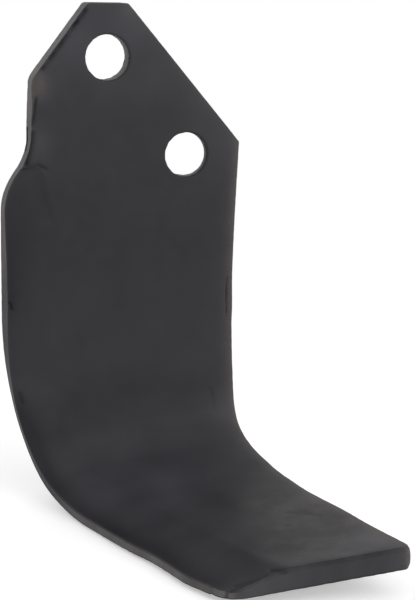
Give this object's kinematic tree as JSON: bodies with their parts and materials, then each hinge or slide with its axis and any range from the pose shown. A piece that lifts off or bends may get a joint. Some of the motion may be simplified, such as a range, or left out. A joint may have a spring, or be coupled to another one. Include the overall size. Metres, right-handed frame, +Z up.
{
  "type": "rotary tiller blade",
  "caption": "Forged steel tiller blade: a flat shank with a pointed, two-hole mounting end, a bevelled leading side, and a wide foot bent sideways, in black paint.",
  "frame": {"origin": "midway between the two bolt holes, on the outer flat face of the shank, away from the side the foot is bent to", "axes": "+X across the shank towards its trailing side, +Y out of the outer face, +Z up the shank towards the mounting end"},
  "size_m": [0.109, 0.1272, 0.1844],
  "materials": {
    "black_paint": "satin black paint over forged steel"
  },
  "bodies": {
    "root": {"blade": "black_paint"}
  },
  "joints": []
}
